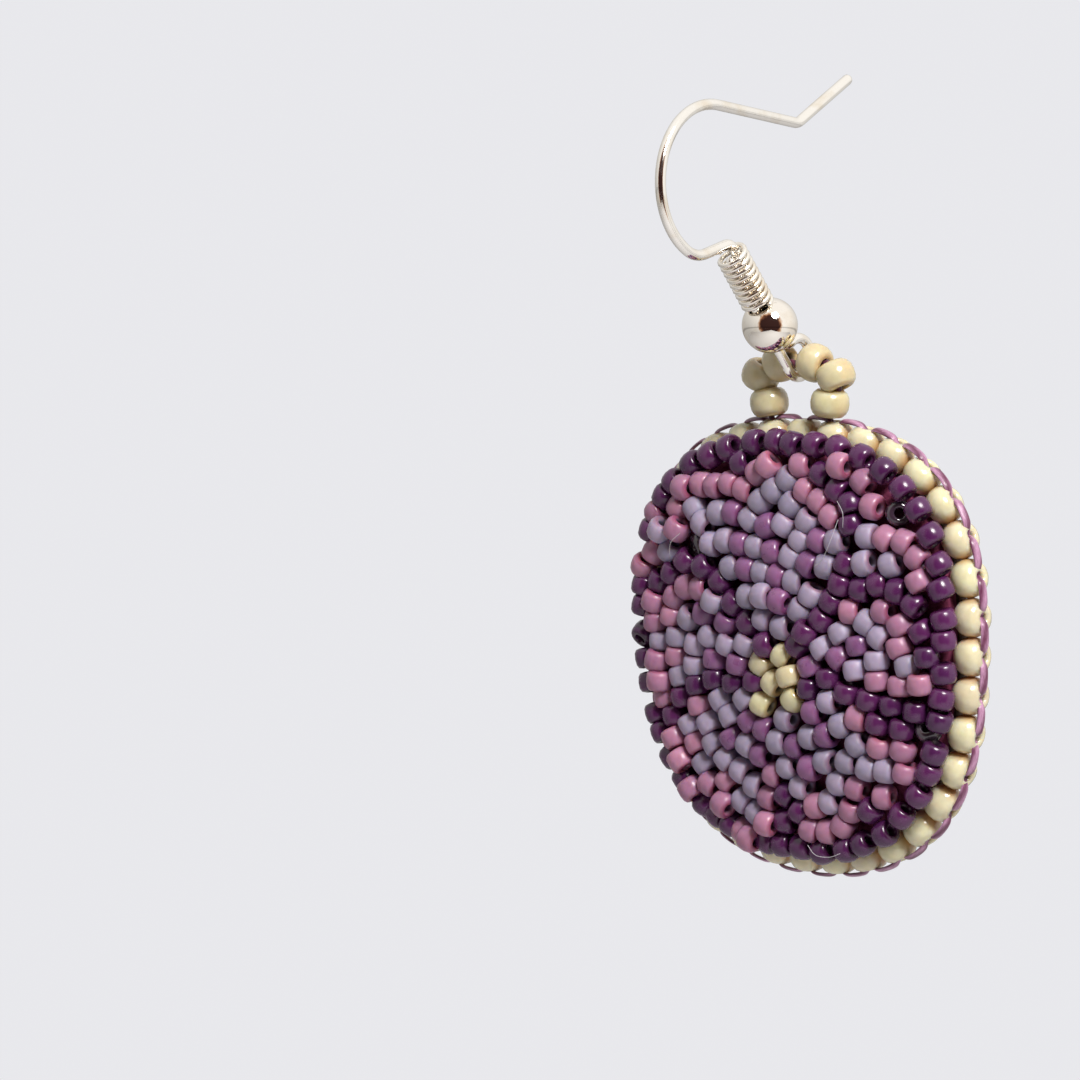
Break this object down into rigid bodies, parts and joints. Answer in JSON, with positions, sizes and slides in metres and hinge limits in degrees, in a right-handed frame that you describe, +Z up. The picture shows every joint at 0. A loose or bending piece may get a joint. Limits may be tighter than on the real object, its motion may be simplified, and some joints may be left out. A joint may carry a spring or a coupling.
{
  "type": "beaded drop earring",
  "caption": "Bead-embroidered round drop with a beaded edging, hung by a loop of beads from a French ear hook with a coil and a ball.",
  "frame": {"origin": "the ear's seat, under the crown of the hook", "axes": "+Z up, -Y out of the beaded face, X across the panel"},
  "size_m": [0.0241, 0.0161, 0.0439],
  "materials": {
    "silver": "polished",
    "cream_bead": "gloss",
    "purple_bead": "gloss",
    "pink_bead": "satin",
    "mauve_bead": "satin",
    "lilac_bead": "matte",
    "thread": "satin",
    "felt": "matte",
    "suede": "matte"
  },
  "bodies": {
    "hook": {"ear_wire": "silver", "coil": "silver", "ball": "silver"},
    "drop": {"loop_bead_1": "cream_bead", "loop_bead_2": "cream_bead", "loop_bead_3": "cream_bead", "loop_bead_4": "cream_bead", "loop_bead_5": "cream_bead", "loop_bead_6": "cream_bead", "loop_thread": "thread", "edge_beads": "cream_bead", "edge_thread": "thread", "bead_field": "purple_bead", "foundation": "felt", "backing": "suede"}
  },
  "joints": [
    {"name": "drop_swing", "type": "hinge", "parent": "hook", "child": "drop", "pos_m": [0, 0.0073, -0.01391], "axis": [1, 0, 0], "range_deg": [-80, 90]}
  ]
}
